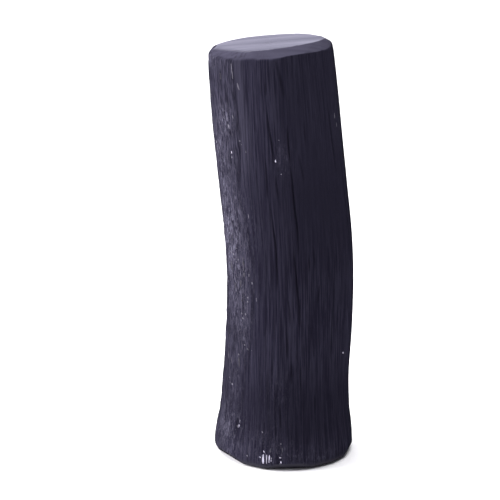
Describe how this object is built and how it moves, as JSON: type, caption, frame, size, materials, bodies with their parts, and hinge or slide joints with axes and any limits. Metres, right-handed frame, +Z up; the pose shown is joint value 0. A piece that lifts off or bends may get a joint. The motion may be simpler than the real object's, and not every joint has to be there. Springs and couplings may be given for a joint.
{
  "type": "water purifying charcoal stick",
  "caption": "Stick of hard charcoal from a bent, flared branch, with grain ridges, cracks, a bark patch, a whittled upper rim and a flat sawn foot to stand on.",
  "frame": {"origin": "middle of the flat sawn lower end, on the surface that the stick stands on", "axes": "+Z up along the stick, -Y towards the side that shows in the picture, +X to the right in that view"},
  "size_m": [0.042, 0.0405, 0.1215],
  "materials": {
    "charcoal": "charred hard and matt, blue-black, with a faint silky sheen on the sanded upper end and grey ash in the grain"
  },
  "bodies": {
    "root": {"charcoal_stick": "charcoal"}
  },
  "joints": []
}
